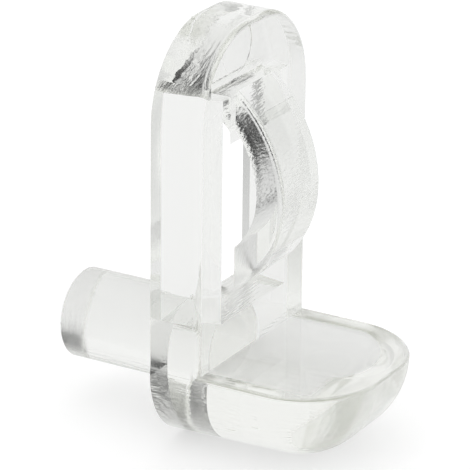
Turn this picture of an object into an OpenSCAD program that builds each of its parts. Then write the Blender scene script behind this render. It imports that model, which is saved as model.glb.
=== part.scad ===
// Shelf support pin with a ledge and a leaf spring, moulded as one clear piece.
// X points out of the cabinet wall, Y runs along the wall, Z points up.
// The origin is where the axis of the peg meets the back face of the plate.

/* [Peg] */
// Diameter of the peg that goes into the cabinet side
peg_d = 5; // [4.5:0.1:6]
// Length of the peg behind the plate
peg_len = 7.8; // [6:0.1:12]
// Width of the small chamfer at the end of the peg
peg_chamfer = 0.15; // [0.05:0.05:0.5]

/* [Plate] */
// Thickness of the plate
plate_t = 2.95; // [2.4:0.05:4]
// Width of the plate across the wall
plate_w = 11.4; // [10.6:0.1:14]
// Height of the top of the plate above the axis of the peg
plate_top = 18.8; // [17.5:0.1:22]
// Radius of the two upper corners
head_r = 4.9; // [3:0.1:5.2]
// Radius that rounds the front edge of the plate
edge_r = 0.4; // [0.1:0.05:0.8]

/* [Window] */
// Width of the window at the front face
window_front_w = 6.75; // [6:0.05:7.5]
// Width of the window at the back face
window_back_w = 7.75; // [6:0.05:8.2]
// Height of the window's sill above the axis of the peg
sill_z = 2.8; // [2:0.1:3.5]
// Height of the window's top above the axis of the peg
lintel_z = 15.2; // [14.6:0.1:15.8]

/* [Spring] */
// Width of the leaf spring in front of the plate
spring_w = 4.15; // [3.5:0.05:5.2]
// Extra width of the spring's root inside the window, shared by its two sides
root_extra = 1.05; // [0:0.05:1.2]
// How far the spring bows out in front of the plate
bow = 2.83; // [2.6:0.01:3]
// Thickness of the spring at the crown of its bow
spring_t = 1.54; // [1.2:0.02:1.7]
// Height of the crown above the axis of the peg
crown_z = 9.5; // [9:0.1:10]
// Radius of the outer face above the crown
outer_upper_r = 7.4; // [7.2:0.1:8.4]
// Radius of the outer face below the crown
outer_lower_r = 6.2; // [5.9:0.05:7]
// Radius of the hollow face above its own crown
inner_upper_r = 5.65; // [5.55:0.05:6.2]
// Radius of the hollow face below its own crown
inner_lower_r = 4; // [3.8:0.1:5]
// Radius of the groove where the spring leaves the plate
groove_r = 1.2; // [0.8:0.1:1.6]
// Radius that rounds the spring's two long outer edges
spring_round = 0.3; // [0.1:0.05:0.4]

/* [Ledge] */
// Reach of the ledge from the back face of the plate
ledge_out = 11.2; // [9:0.1:14]
// Height of the mould's parting plane above the axis of the peg
part_z = 0.34; // [0:0.02:0.8]
// Radius that rounds the upper rim of the ledge, above the parting plane
rim_r = 0.18; // [0.1:0.02:0.5]
// How much further out the lower half of the mould stands at the parting line
part_step = 0.03; // [0.01:0.01:0.08]
// Radius of the ledge's round underside and of its nose
belly_r = 4.4; // [3.8:0.1:5]
// Rise of the underside towards the nose, in degrees
belly_rise = 1.5; // [0:0.1:3]
// Depth of straight wall between the parting plane and the round underside
belly_wall = 0.3; // [0:0.02:0.6]

/* [Marks] */
// Diameter of the round ejector mark on the back of the head
ejector_d = 3; // [1.5:0.1:3.2]
// Depth of the ejector mark
ejector_depth = 0.05; // [0.02:0.01:0.15]
// Diameter of the nub left by the gate, on the back edge of the head
gate_d = 0.24; // [0.16:0.02:0.4]
// How far the gate nub stands out of the head
gate_rise = 0.1; // [0.04:0.02:0.2]
// Turn of the gate nub from the top of the head, in degrees
gate_turn = 11; // [2:1:60]

/* [Hidden] */
$fn = 96;
clear = [0.88, 0.90, 0.90, 0.45];
half_w = plate_w / 2;
plate_half_w = half_w - part_step;
corner_y = plate_half_w - head_r;
corner_z = plate_top - head_r;
crown_x = plate_t + bow;
hollow_x = crown_x - spring_t;
hollow_z = crown_z + 0.15;
spring_low_z = crown_z - 5.02;
belly_y = half_w - belly_r;
nose_x = ledge_out - belly_r;

// Turns a profile drawn in X and Z into a solid of the given width across Y.
module across(w) {
    rotate([90, 0, 0]) linear_extrude(height = w, center = true) children();
}

// Plan of the plate, X and Y, with the two front corners rounded.
module plate_plan() {
    square_y = plate_half_w - edge_r;
    translate([0, -plate_half_w]) square([plate_t - edge_r, 2 * plate_half_w]);
    translate([0, -square_y]) square([plate_t, 2 * square_y]);
    for (s = [-1, 1]) translate([plate_t - edge_r, s * square_y]) circle(edge_r);
}

// Section of the head from a corner's centre outwards, as radius and thickness.
module head_section() {
    square([head_r, plate_t - edge_r]);
    square([head_r - edge_r, plate_t]);
    translate([head_r - edge_r, plate_t - edge_r]) circle(edge_r);
}

// One rounded upper corner of the head, a quarter turn about X.
module head_corner() {
    rotate([0, 90, 0]) rotate([0, 0, 90]) rotate_extrude(angle = 90) head_section();
}

// The flat stretch of the head between its two corners.
module head_middle() {
    translate([0, 0, corner_z]) across(2 * corner_y) {
        square([plate_t - edge_r, head_r]);
        square([plate_t, head_r - edge_r]);
        translate([plate_t - edge_r, head_r - edge_r]) circle(edge_r);
    }
}

// The plate without its window.
module plate_blank() {
    translate([0, 0, part_z]) linear_extrude(height = corner_z - part_z) plate_plan();
    head_middle();
    translate([0, corner_y, corner_z]) head_corner();
    mirror([0, 1, 0]) translate([0, corner_y, corner_z]) head_corner();
}

// The window, which opens towards the back.
module window() {
    over = 1;
    slope = (window_back_w - window_front_w) / (2 * plate_t);
    b = window_back_w / 2 + slope * over;
    f = window_front_w / 2 - slope * over;
    translate([0, 0, sill_z]) linear_extrude(height = lintel_z - sill_z)
        polygon([[-over, -b], [plate_t + over, -f], [plate_t + over, f], [-over, b]]);
}

// A disc cut off above or below the height of its centre.
module half_disc(x, z, r, up) {
    intersection() {
        translate([x, z]) circle(r, $fn = 180);
        translate([x - r - 1, up ? z : z - r - 1]) square([2 * r + 2, r + 1]);
    }
}

// Half section of the spring's bow on one side of its centre, with round rims.
module bow_section(r) {
    square_y = spring_w / 2 - spring_round;
    translate([0, -spring_w / 2]) square([r - spring_round, spring_w]);
    translate([0, -square_y]) square([r, 2 * square_y]);
    for (s = [-1, 1]) translate([r - spring_round, s * square_y]) circle(spring_round, $fn = 48);
}

// The upper or lower half of the bow as a solid disc across Y.
module half_bow(r, up) {
    translate([crown_x - r, 0, crown_z]) intersection() {
        rotate([90, 0, 0]) rotate_extrude($fn = 180) bow_section(r);
        translate([-r - 1, -spring_w, up ? 0 : -r - 1]) cube([2 * r + 2, 2 * spring_w, r + 1]);
    }
}

// Everything that is cut off the bow, in X and Z: the hollow behind it, the
// groove above it, and what would reach into the window or above its top.
module bow_waste() {
    half_disc(hollow_x - inner_upper_r, hollow_z, inner_upper_r, true);
    half_disc(hollow_x - inner_lower_r, hollow_z, inner_lower_r, false);
    translate([plate_t + groove_r - 0.02, lintel_z]) circle(groove_r);
    translate([-20, lintel_z + 0.3]) square([40, 20]);
    translate([plate_t - 0.02, lintel_z]) square([20, 1]);
    translate([-20, -20]) square([40, 20 + spring_low_z]);
    translate([-20, spring_low_z - 1]) square([20 + plate_t, hollow_z - spring_low_z + 1]);
    translate([-20, hollow_z - 1]) square([20, lintel_z - hollow_z + 2]);
}

// The leaf spring, held only at the top of the window. Its root is wider.
module spring() {
    difference() {
        union() {
            half_bow(outer_upper_r, true);
            half_bow(outer_lower_r, false);
        }
        across(spring_w + 2) bow_waste();
    }
    across(spring_w + root_extra) difference() {
        intersection() {
            half_disc(crown_x - outer_upper_r, crown_z, outer_upper_r, true);
            square([plate_t, lintel_z + 0.3]);
        }
        bow_waste();
    }
}

// Section of the rim from the centre of a nose corner outwards, as radius and height.
module rim_section(r) {
    square([r - rim_r, rim_r]);
    intersection() {
        translate([r - rim_r, 0]) circle(rim_r);
        square([r, rim_r]);
    }
}

// The thin upper part of the ledge, whose rim is rounded all the way round.
module ledge_top() {
    r = belly_r - part_step;
    translate([0, 0, part_z]) {
        for (s = [-1, 1]) {
            translate([nose_x, s * belly_y, 0]) mirror([0, s < 0 ? 1 : 0, 0])
                rotate_extrude(angle = 90) rim_section(r);
            translate([0, s * belly_y, 0]) mirror([0, s < 0 ? 1 : 0, 0])
                rotate([90, 0, 90]) linear_extrude(height = nose_x) rim_section(r);
        }
        translate([nose_x, 0, 0]) across(2 * belly_y) rim_section(r);
        translate([0, -belly_y, 0]) cube([nose_x, 2 * belly_y, rim_r]);
    }
}

// The half-round body below the parting plane, with a nose of two quarter balls.
module belly() {
    x = nose_x;
    intersection() {
        translate([0, 0, part_z - belly_wall]) rotate([0, -belly_rise, 0]) {
            translate([-2, 0, 0]) rotate([0, 90, 0]) {
                for (s = [-1, 1]) translate([0, s * belly_y, 0]) cylinder(h = x + 2, r = belly_r);
                translate([0, -belly_y, 0]) cube([belly_r, 2 * belly_y, x + 2]);
            }
            for (s = [-1, 1]) translate([x, s * belly_y, 0]) sphere(belly_r);
            translate([x, 0, 0]) rotate([90, 0, 0])
                cylinder(h = 2 * belly_y, r = belly_r, center = true);
        }
        translate([0, -20, -20]) cube([40, 40, 20 + part_z]);
    }
}

// Ledge and lower end of the plate.
module ledge() {
    belly();
    ledge_top();
}

// Round peg with a small chamfer at its free end.
module peg() {
    rotate([0, -90, 0]) cylinder(h = peg_len - peg_chamfer, d = peg_d);
    translate([-peg_len + peg_chamfer, 0, 0]) rotate([0, -90, 0])
        cylinder(h = peg_chamfer, r1 = peg_d / 2, r2 = peg_d / 2 - peg_chamfer);
}

// Nub left where the gate was twisted off, on the round of the head.
module gate_nub() {
    translate([gate_d / 2 + 0.04, -corner_y, corner_z]) rotate([gate_turn, 0, 0])
        translate([0, 0, head_r - 0.4]) cylinder(h = 0.4 + gate_rise, d = gate_d, $fn = 24);
}

module shelf_support() {
    color(clear) difference() {
        union() {
            difference() {
                plate_blank();
                window();
            }
            spring();
            ledge();
            peg();
            gate_nub();
        }
        translate([-1, 0, (lintel_z + plate_top) / 2]) rotate([0, 90, 0])
            cylinder(h = 1 + ejector_depth, d = ejector_d);
    }
}

shelf_support();
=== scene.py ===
import math

import bmesh
import bpy
from mathutils import Matrix, Vector


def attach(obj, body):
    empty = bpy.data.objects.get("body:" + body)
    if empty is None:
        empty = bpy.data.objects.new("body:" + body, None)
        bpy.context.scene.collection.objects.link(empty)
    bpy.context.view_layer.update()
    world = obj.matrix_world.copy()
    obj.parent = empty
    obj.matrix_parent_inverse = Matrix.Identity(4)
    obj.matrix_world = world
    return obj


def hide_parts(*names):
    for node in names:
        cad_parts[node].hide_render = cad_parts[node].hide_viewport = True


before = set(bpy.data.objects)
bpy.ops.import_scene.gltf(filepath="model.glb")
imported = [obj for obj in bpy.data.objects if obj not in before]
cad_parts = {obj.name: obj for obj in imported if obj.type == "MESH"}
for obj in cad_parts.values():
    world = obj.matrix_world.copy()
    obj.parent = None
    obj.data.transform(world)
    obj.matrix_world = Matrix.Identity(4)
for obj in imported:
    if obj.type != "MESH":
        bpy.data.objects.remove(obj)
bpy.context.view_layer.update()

# ---------------------------------------------------------------------------
# SHELF SUPPORT
# Peg, plate, leaf spring and ledge are one injection moulding in water-clear
# plastic. Each is worked out here in millimetres, and then they are welded
# into one closed skin.
peg_r, peg_len, peg_chamfer, peg_root = 2.5, 7.8, 0.15, 0.2
plate_t, half_w, plate_top, head_r, edge_r = 2.95, 5.7, 18.8, 4.9, 0.36
front_w, back_w, sill_z, lintel_z = 6.75, 7.75, 2.8, 15.2
ledge_out, belly_r, part_z, rim_r, part_step, wall = 11.2, 4.4, 0.34, 0.18, 0.03, 0.3
crown_x, crown_z, hollow_x, hollow_z = 5.78, 9.5, 4.24, 9.65
outer_up, outer_low, inner_up, inner_low = 7.4, 6.2, 5.65, 4.0
spring_w, root_w, groove_r, tip_z, spring_round = 4.15, 5.2, 1.2, 4.48, 0.3
head_w = half_w - part_step


def arc(cx, cy, r, a0, a1, steps):
    """Points on an arc, both ends included; the angles are in degrees."""
    turn = [math.radians(a0 + (a1 - a0) * i / steps) for i in range(steps + 1)]
    return [(cx + r * math.cos(a), cy + r * math.sin(a)) for a in turn]


def skin(name, rings):
    """Joins closed rings of equal length into a skin, with a cap at each end."""
    bm = bmesh.new()
    loops = [[bm.verts.new(p) for p in ring] for ring in rings]
    count = len(loops[0])
    for low, high in zip(loops, loops[1:]):
        for i in range(count):
            j = (i + 1) % count
            bm.faces.new((low[i], low[j], high[j], high[i]))
    bm.faces.new(loops[0])
    bm.faces.new(loops[-1])
    bmesh.ops.recalc_face_normals(bm, faces=bm.faces)
    mesh = bpy.data.meshes.new(name)
    bm.to_mesh(mesh)
    bm.free()
    ob = bpy.data.objects.new(name, mesh)
    bpy.context.scene.collection.objects.link(ob)
    return ob


# The plate has two round upper corners. Its front edge is rolled over; its back
# edge lies on the mould's parting plane and is left crisp.
def plate_ring(x, inset):
    w, r, cz, cy = head_w - inset, head_r - inset, plate_top - head_r, head_w - head_r
    side = [0.1 + (cz - 0.1) * i / 30 for i in range(30)]
    ring = [(w, z) for z in side] + arc(cy, cz, r, 0, 90, 64) + arc(-cy, cz, r, 90, 180, 64)
    return [(x, y, z) for y, z in ring + [(-w, z) for z in reversed(side)]]


front_roll = arc(plate_t - edge_r, edge_r, edge_r, -90, 0, 10)
plate_rings = [plate_ring(0, 0)] + [plate_ring(x, y) for x, y in front_roll]
support = skin("clear_shelf_support", plate_rings)

# The window is formed by a core that draws out through the back, so it tapers.
slope = (back_w - front_w) / 2 / plate_t
wide, narrow = back_w / 2 + slope, front_w / 2 - slope
core_plan = [(-1, -wide), (plate_t + 1, -narrow), (plate_t + 1, narrow), (-1, wide)]
core = skin("core", [[(x, y, z) for x, y in core_plan] for z in (sill_z, lintel_z)])

# The leaf spring hangs from the top of the window, bows out in front of the
# plate and comes back to it with a free, slightly rounded toe. A round groove
# frees its root. Its parts sink a hair into each other so that they weld.
sink = 0.02
groove_x, over = plate_t - sink + groove_r, lintel_z + 0.3
up_x, low_x = crown_x - outer_up, crown_x - outer_low
hollow_up_x, hollow_low_x = hollow_x - inner_up, hollow_x - inner_low
toe_r = 0.15
toe_x = plate_t + toe_r
toe_turn = math.degrees(math.acos((toe_x - hollow_low_x) / (inner_low + toe_r)))
toe_z = hollow_z - (inner_low + toe_r) * math.sin(math.radians(toe_turn))
root_turn = math.degrees(math.asin((lintel_z - hollow_z) / inner_up))
inner = arc(toe_x, toe_z, toe_r, 180, 180 - toe_turn, 6)
inner += arc(hollow_low_x, hollow_z, inner_low, -toe_turn, 0, 50)[1:]
inner += arc(hollow_up_x, hollow_z, inner_up, 0, root_turn, 80)[1:]


def spring_ring(y):
    """The spring's section by a plane of constant y; its outer long edges are round."""
    past = max(0.0, abs(y) - (spring_w / 2 - spring_round))
    inset = spring_round - math.sqrt(max(0.0, spring_round**2 - past**2))
    r_up, r_low = outer_up - inset, outer_low - inset
    between = math.hypot(groove_x - up_x, lintel_z - crown_z)
    if between < r_up + groove_r:
        toward = math.atan2(lintel_z - crown_z, groove_x - up_x)
        meet = toward + math.acos((r_up**2 - groove_r**2 + between**2) / (2 * between * r_up))
        meet_x, meet_z = up_x + r_up * math.cos(meet), crown_z + r_up * math.sin(meet)
        stop = math.degrees(math.atan2(meet_z - lintel_z, meet_x - groove_x)) % 360
        neck = arc(groove_x, lintel_z, groove_r, 180, stop, 24)
    else:
        meet = math.acos((plate_t - sink - up_x) / r_up)
        top = crown_z + r_up * math.sin(meet)
        neck = [(plate_t - sink, lintel_z + (top - lintel_z) * i / 24) for i in range(25)]
    plate_hit = -math.acos((plate_t + sink / 2 - low_x) / r_low)
    tip = max(math.asin((tip_z - crown_z) / r_low), plate_hit)
    outline = [(plate_t - sink, over)] + neck
    outline += arc(up_x, crown_z, r_up, math.degrees(meet), 0, 60)[1:]
    outline += arc(low_x, crown_z, r_low, 0, math.degrees(tip), 60)[1:]
    outline += [(plate_t, crown_z + r_low * math.sin(tip) + sink)]
    outline += inner + [(inner[-1][0], over)]
    return [(x, y, z) for x, z in outline]


flat_y = spring_w / 2 - spring_round
flank = [flat_y + spring_round * math.sin(math.radians(6 * i)) for i in range(15, -1, -1)]
spring_rings = [spring_ring(-y) for y in flank] + [spring_ring(y) for y in reversed(flank)]
spring = skin("spring", spring_rings)
root_low_z = 12.6
root_block = [(plate_t, over), (plate_t, root_low_z)]
root_block += [p for p in inner if p[0] < plate_t and p[1] > hollow_z]
root_block += [(inner[-1][0], over)]
root = skin("root", [[(x, y, z) for x, z in root_block] for y in (-root_w / 2, root_w / 2)])


# The ledge is a flat-topped dish of solid plastic, round underneath and at its
# nose. The lower half of the mould stands a hair proud along the parting line.
def ledge_ring(r, height):
    y0, x0 = half_w - belly_r, ledge_out - belly_r
    back = [x0 * i / 24 for i in range(24)]
    ring = [(x, -y0 - r) for x in back] + arc(x0, -y0, r, -90, 0, 56)
    ring += arc(x0, y0, r, 0, 90, 56) + [(x, y0 + r) for x in reversed(back)]
    return [(x, y, height(x)) for x, y in ring]


def wall_foot(x):
    """How high the upright wall under the parting line ends; it fades to the nose."""
    return part_z - wall * (1 - x / ledge_out)


belly, least_reach, least_wall = [], 0.002, 0.001
for reach, depth in arc(0, 0, belly_r, 90, 0, 64):
    reach = max(reach, least_reach)
    belly.append(ledge_ring(reach, lambda x: wall_foot(x) - depth - least_wall))
belly.append(ledge_ring(belly_r, lambda x: part_z))
rim = arc(belly_r - part_step - rim_r, part_z, rim_r, 0, 90, 10)
ledge = skin("ledge", belly + [ledge_ring(r, lambda x: z) for r, z in rim])

# The peg is plain and round, with a broken edge at its end and a small radius
# where it leaves the plate.
peg_rings = [(0.5, peg_r + peg_root), (0, peg_r + peg_root)]
peg_rings += [(-x, r) for x, r in arc(peg_root, peg_r + peg_root, peg_root, 180, 270, 8)[1:]]
peg_rings += [(-peg_len + peg_chamfer, peg_r), (-peg_len, peg_r - peg_chamfer)]
round_of = arc(0, 0, 1, 0, 360, 160)[:-1]
peg = skin("peg", [[(x, r * y, r * z) for y, z in round_of] for x, r in peg_rings])

# An ejector pin left a shallow round mark on the back of the head, and the gate
# left a nub on the head's back edge.
mark_r, mark_depth, mark_z = 1.5, 0.05, (lintel_z + plate_top) / 2
mark = skin("mark", [
    [(x, mark_r * y, mark_z + mark_r * z) for y, z in round_of]
    for x in (-1, mark_depth)
])
nub_r, nub_x, nub_root, nub_rise = 0.12, 0.16, -0.4, 0.1
nub_turn = Matrix.Rotation(math.radians(11), 4, "X")
nub_at = Vector((nub_x, -(head_w - head_r), plate_top - head_r))
nub = skin("nub", [
    [nub_at + nub_turn @ Vector((nub_r * y, nub_r * z, head_r + h)) for y, z in round_of[::8]]
    for h in (nub_root, nub_rise)
])


def weld(tool, operation="UNION"):
    cut = support.modifiers.new("weld", "BOOLEAN")
    cut.object, cut.operation, cut.solver = tool, operation, "MANIFOLD"
    bpy.context.view_layer.objects.active = support
    bpy.ops.object.modifier_apply(modifier=cut.name)
    bpy.data.objects.remove(tool)


weld(core, "DIFFERENCE")
for part in (spring, root, ledge, peg, nub):
    weld(part)
weld(mark, "DIFFERENCE")

support.data.materials.clear()
skin_mesh = bmesh.new()
skin_mesh.from_mesh(support.data)
bmesh.ops.remove_doubles(skin_mesh, verts=skin_mesh.verts, dist=0.004)
bmesh.ops.dissolve_degenerate(skin_mesh, dist=0.002, edges=skin_mesh.edges)


# Which finish the mould gave each face. It is polished nearly all round. What
# the window's core formed has a spark-eroded grain, and so has the spring's
# toe. Tools left their marks on the back, on the peg and beside the belly.
# A face within NEAR of its plane or arc counts as on it; BACK is wider, so that
# the shallow ejector mark counts with the back of the head.
POLISHED, GRAIN, GROUND, CUT, MILLED, TURNED, SCRAPED, TOE = range(8)
NEAR, BACK = 0.02, 0.06


def on_hollow(x, z, centre_x, r):
    """Whether a point lies on the spring's hollow face, whose arcs share a height."""
    return abs(math.hypot(x - centre_x, z - hollow_z) - r) < NEAR


def finish_of(face):
    x, y, z = face.calc_center_median()
    n = face.normal
    core_depth = NEAR < x < plate_t + 3
    core_height = sill_z - 0.1 < z < lintel_z + 0.1
    if core_depth and core_height and abs(y) < back_w / 2:
        if abs(z - lintel_z) < NEAR and n.z < -0.9:
            return GRAIN
        if abs(z - sill_z) < NEAR and n.z > 0.9:
            return GRAIN
        upper = on_hollow(x, z, hollow_up_x, inner_up) and z > hollow_z - 0.2
        lower = on_hollow(x, z, hollow_low_x, inner_low) and z < hollow_z + 0.2
        if abs(n.y) < 0.3 and (upper or lower):
            return GRAIN
    if n.x < -0.9:
        if abs(x - plate_t) < NEAR and z < 7 and abs(y) < spring_w / 2:
            return TOE
        if abs(x) < BACK and z > lintel_z:
            return GROUND
        if abs(x) < BACK and z < part_z - 0.35:
            return SCRAPED
        if x < -peg_len + 0.01:
            return CUT
    if -peg_len + peg_chamfer < x < -peg_root and math.hypot(y, z) < peg_r + 0.1:
        return TURNED
    if NEAR < x < plate_t + 0.3 and z < part_z and n.z < 0.1 and abs(n.x) < 0.5:
        return MILLED
    return POLISHED


finish = skin_mesh.faces.layers.float.new("finish")
for face in skin_mesh.faces:
    face[finish] = finish_of(face)
    face.smooth = True

# Moulded edges are never quite sharp: a few hundredths of a millimetre.
soft = skin_mesh.edges.layers.float.new("bevel_weight_edge")
for edge in skin_mesh.edges:
    mid = (edge.verts[0].co + edge.verts[1].co) / 2
    near_parting = abs(mid.z - part_z) < 0.25
    crisp = edge.calc_face_angle(0) > math.radians(32) and edge.calc_length() > 0.02
    if crisp and not near_parting:
        edge[soft] = 1.0
skin_mesh.to_mesh(support.data)
skin_mesh.free()

edge_round = support.modifiers.new("edges", "BEVEL")
edge_round.limit_method, edge_round.width, edge_round.segments = "WEIGHT", 0.05, 3
edge_round.use_clamp_overlap = True
level = support.modifiers.new("level", "WEIGHTED_NORMAL")
level.keep_sharp, level.weight = True, 100
bpy.context.view_layer.objects.active = support
bpy.ops.object.modifier_apply(modifier=edge_round.name)
support.data.set_sharp_from_angle(angle=math.radians(38))
bpy.ops.object.modifier_apply(modifier=level.name)
support.data.transform(Matrix.Scale(0.001, 4))


class Sockets:
    """A shader value, with the arithmetic that the finishes below need."""

    def __init__(self, tree, socket=None):
        self.tree, self.socket = tree, socket

    def node(self, kind, settings=None, **sockets):
        made = self.tree.nodes.new(kind)
        for key, value in (settings or {}).items():
            setattr(made, key, value)
        for key, value in sockets.items():
            name = key.replace("_", " ")
            if name.startswith("in "):
                name = int(name[3:])
            target = made.inputs[name]
            if isinstance(value, Sockets):
                self.tree.links.new(value.socket, target)
            else:
                target.default_value = value
        return made

    def out(self, made, name=0):
        return Sockets(self.tree, made.outputs[name])

    def vector(self, operation, a, b, name="Vector"):
        made = self.node("ShaderNodeVectorMath", {"operation": operation}, in_0=a, in_1=b)
        return self.out(made, name)

    def math(self, operation, *values):
        sockets = {f"in_{i}": v for i, v in enumerate(values)}
        return self.out(self.node("ShaderNodeMath", {"operation": operation}, **sockets))

    def __add__(self, other): return self.math("ADD", self, other)
    def __radd__(self, other): return self.math("ADD", other, self)
    def __sub__(self, other): return self.math("SUBTRACT", self, other)
    def __rsub__(self, other): return self.math("SUBTRACT", other, self)
    def __mul__(self, other): return self.math("MULTIPLY", self, other)
    def __rmul__(self, other): return self.math("MULTIPLY", other, self)
    def __truediv__(self, other): return self.math("DIVIDE", self, other)
    def __rtruediv__(self, other): return self.math("DIVIDE", other, self)


plastic = bpy.data.materials.new("clear_plastic")
plastic.use_nodes = True
s = Sockets(plastic.node_tree)
shader = plastic.node_tree.nodes["Principled BSDF"]
shader.inputs["Base Color"].default_value = (0.985, 0.99, 0.98, 1)
shader.inputs["IOR"].default_value = 1.49
shader.inputs["Transmission Weight"].default_value = 1.0
tint = s.node("ShaderNodeVolumeAbsorption", Color=(0.94, 0.943, 0.925, 1), Density=100.0)
s.tree.links.new(tint.outputs[0], s.tree.nodes["Material Output"].inputs["Volume"])
place = s.out(s.node("ShaderNodeTexCoord"), "Object")


def marks(stretch, scale, detail, lean=0.0):
    """Noise drawn out along an axis, as a stone or a polishing stick leaves it."""
    drawn = s.out(s.node("ShaderNodeMapping", Vector=place, Rotation=(lean, 0, 0)))
    drawn = s.out(s.node("ShaderNodeMapping", Vector=drawn, Scale=stretch))
    return s.out(s.node("ShaderNodeTexNoise", Vector=drawn, Scale=scale, Detail=detail))


# The polish has faint marks of its own, which the grain and the ground marks
# replace. Each other finish: the pattern of its marks, their depth in microns,
# and how much duller it is than the polish.
kind = s.out(s.node("ShaderNodeAttribute", {"attribute_name": "finish"}), "Fac")
polished = 1.0 - s.math("COMPARE", kind, GRAIN, 0.1) - s.math("COMPARE", kind, GROUND, 0.1)
microns = polished * marks((0.08, 1.0, 1.0), 5000.0, 2.0) * 3.0
rough = 0.015
scraper_lean = math.radians(8.5)
for finish_no, pattern, depth, dull in (
    (GRAIN, marks((1.0, 0.18, 1.0), 8000.0, 2.0), 24.0, 0.01),
    (GROUND, marks((1.0, 0.4, 1.0), 3000.0, 3.0), 14.0, 0.065),
    (CUT, marks((1.0, 1.0, 0.1), 6500.0, 3.0), 30.0, 0.14),
    (MILLED, marks((0.06, 1.0, 1.0), 4500.0, 2.0), 24.0, 0.0),
    (TURNED, marks((0.12, 1.0, 1.0), 4000.0, 2.0), 22.0, 0.15),
    (SCRAPED, marks((1.0, 0.06, 1.0), 8000.0, 1.0, scraper_lean), 50.0, 0.25),
    (TOE, marks((1.0, 1.0, 1.0), 9000.0, 2.0), 40.0, 0.0),
):
    here = s.math("COMPARE", kind, finish_no, 0.1)
    microns = microns + here * pattern * depth
    rough = rough + here * dull
micron = 0.000001
relief = s.node("ShaderNodeBump", Strength=1.0, Distance=micron, Height=microns)
s.tree.links.new(relief.outputs[0], shader.inputs["Normal"])
s.tree.links.new(rough.socket, shader.inputs["Roughness"])
support.data.materials.append(plastic)

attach(support, "root")
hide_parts("shelf_support")

# ---------------------------------------------------------------------------
# CAMERA
# A long lens beside the part and a little in front of the cabinet side,
# looking down on the ledge.
azimuth, elevation, roll = (math.radians(a) for a in (29.9542, 21.5326, 0.6327))
aim, distance = Vector((0.001791, 0, 0.006459)), 0.181048
sideways = Vector((math.cos(azimuth), math.sin(azimuth), 0))
to_camera = Vector((sideways.y, -sideways.x, 0)) * math.cos(elevation)
to_camera.z = math.sin(elevation)
right = sideways * math.cos(roll) + to_camera.cross(sideways) * math.sin(roll)
up = to_camera.cross(right)
lens = bpy.data.cameras.new("camera")
lens.sensor_width, lens.lens, lens.clip_start = 36, 261.025, 0.01
camera = bpy.data.objects.new("camera", lens)
turn = Matrix((right, up, to_camera)).transposed().to_4x4()
camera.matrix_world = Matrix.Translation(aim + to_camera * distance) @ turn
bpy.context.scene.collection.objects.link(camera)
bpy.context.scene.camera = camera

# ---------------------------------------------------------------------------
# STUDIO
# A white sheet under the object and soft white light from everywhere, but for
# dim patches low down on the right and a dark streak painted on the sheet, which
# draw the edges of clear plastic. They show only in what it bends or mirrors.
floor_z, half = -0.00437, 3.0
corners = [(x * half, y * half, floor_z) for x, y in ((-1, -1), (1, -1), (1, 1), (-1, 1))]
floor_mesh = bpy.data.meshes.new("floor")
floor_mesh.from_pydata(corners, [], [(0, 1, 2, 3)])
floor = bpy.data.objects.new("floor", floor_mesh)
bpy.context.scene.collection.objects.link(floor)

white_sheet = bpy.data.materials.new("floor")
white_sheet.use_nodes = True
floor_mesh.materials.append(white_sheet)
s = Sockets(white_sheet.node_tree)
shader = white_sheet.node_tree.nodes["Principled BSDF"]
shader.inputs["Base Color"].default_value = (0.8, 0.8, 0.8, 1)
shader.inputs["Roughness"].default_value = 1.0
shader.inputs["Specular IOR Level"].default_value = 0.0

# Aside is to the camera's right and ahead is away from it, both level. Each dim
# patch: its turn from aside towards ahead and its tilt, in degrees, its spread
# across and upwards, how flat its middle is, and how dim it gets.
aside = Vector((math.cos(math.radians(30)), math.sin(math.radians(30)), 0))
ahead = Vector((-aside.y, aside.x, 0))
dim_patches = (
    (40, 6, (0.34, 0.5), 1.0, 0.5),
    (38, 11.5, (0.305, 0.316), 3.0, 0.975),
    (10, -6, (0.2, 0.25), 1.0, 0.18),
)


def gap(s, direction):
    """How much of the light is missing in a direction, from 0 to 1."""
    lit = 1.0
    for middle, tilt, spreads, flatness, depth in dim_patches:
        middle, tilt = math.radians(middle), math.radians(tilt)
        flat = aside * math.cos(middle) + ahead * math.sin(middle)
        facing = flat * math.cos(tilt) + Vector((0, 0, math.sin(tilt)))
        across = Vector((-flat.y, flat.x, 0))
        share = []
        for axis, spread in zip((across, facing.cross(across)), spreads):
            part = s.vector("DOT_PRODUCT", direction, axis, "Value") / spread
            share.append(part * part)
        reach = s.math("POWER", share[0] + share[1], flatness)
        front = s.vector("DOT_PRODUCT", direction, facing, "Value")
        dark = s.math("EXPONENT", reach * -1.0) * s.math("GREATER_THAN", front, 0.0) * depth
        lit = (1.0 - dark) * lit
    return 1.0 - lit


def seen_in_plastic(s):
    """1 for what the plastic bends or mirrors, and 0 for all that is seen directly."""
    path = s.node("ShaderNodeLightPath")
    return s.math("MAXIMUM", s.out(path, "Is Glossy Ray"), s.out(path, "Is Transmission Ray"))
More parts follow.
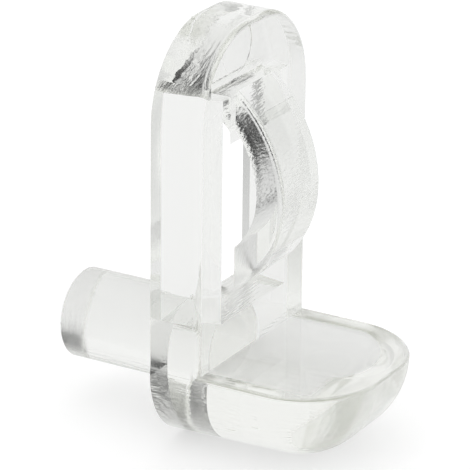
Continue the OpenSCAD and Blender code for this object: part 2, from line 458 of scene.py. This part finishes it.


# The sheet is lifted to white where it is looked at, and a little where the
# plastic shows it; a painted pool of light adds most right under the object.
looked_at = s.out(s.node("ShaderNodeLightPath"), "Is Camera Ray")
in_plastic = seen_in_plastic(s)
spot = s.out(s.node("ShaderNodeTexCoord"), "Object")
away = s.vector("SUBTRACT", spot, (0, 0, 0.004))
away = s.out(s.node("ShaderNodeVectorMath", {"operation": "NORMALIZE"}, in_0=away))
# A pool of light painted on the sheet under the object, seen only through the plastic.
painted_pool = s.vector("DISTANCE", spot, (0.0035, -0.0015, floor_z), "Value") / 0.0065
painted_pool = s.math("EXPONENT", painted_pool * painted_pool * -1.0)
strength = looked_at * 0.32 + in_plastic * (0.12 + painted_pool * 0.25)
glow = s.node("ShaderNodeEmission", Color=(1, 1, 1, 1), Strength=strength)
both = s.node("ShaderNodeAddShader")
s.tree.links.new(shader.outputs[0], both.inputs[0])
s.tree.links.new(glow.outputs[0], both.inputs[1])

# The dark streak painted on the sheet: the middle and half width along it and across it.
painted_streak = 1.0
for axis, middle, spread in (
    ((0.47, 0.883, 0), 0.0395, 0.0145),
    ((0.883, -0.47, 0), 0.0003, 0.0013),
):
    part = (s.vector("DOT_PRODUCT", spot, axis, "Value") - middle) / spread
    painted_streak = s.math("EXPONENT", s.math("POWER", part * part, 3.0) * -1.0) * painted_streak
dim = s.node("ShaderNodeEmission", Color=(0, 0, 0, 1), Strength=0.0)
# Where the plastic shows it, the sheet is painted dark along the streak and toward the dim
# patches.
dark = 1.0 - (1.0 - gap(s, away)) * (1.0 - painted_streak * 0.95)
mixed = s.node("ShaderNodeMixShader", in_0=in_plastic * dark)
s.tree.links.new(both.outputs[0], mixed.inputs[1])
s.tree.links.new(dim.outputs[0], mixed.inputs[2])
s.tree.links.new(mixed.outputs[0], s.tree.nodes["Material Output"].inputs[0])

world = bpy.data.worlds.new("white_studio")
bpy.context.scene.world = world
world.use_nodes = True
bpy.context.scene.view_settings.view_transform = "Standard"
s = Sockets(world.node_tree)
toward = s.out(s.node("ShaderNodeTexCoord"), "Generated")
strength = 1.0 - seen_in_plastic(s) * (gap(s, toward) * 0.96 + 0.04)
s.tree.links.new(strength.socket, world.node_tree.nodes["Background"].inputs["Strength"])
world.node_tree.nodes["Background"].inputs["Color"].default_value = (1, 1, 1, 1)

# Light passes through many faces of a clear part before it comes out again.
bpy.context.scene.cycles.max_bounces = 32
bpy.context.scene.cycles.glossy_bounces = 24
bpy.context.scene.cycles.transmission_bounces = 32

bpy.context.view_layer.update()
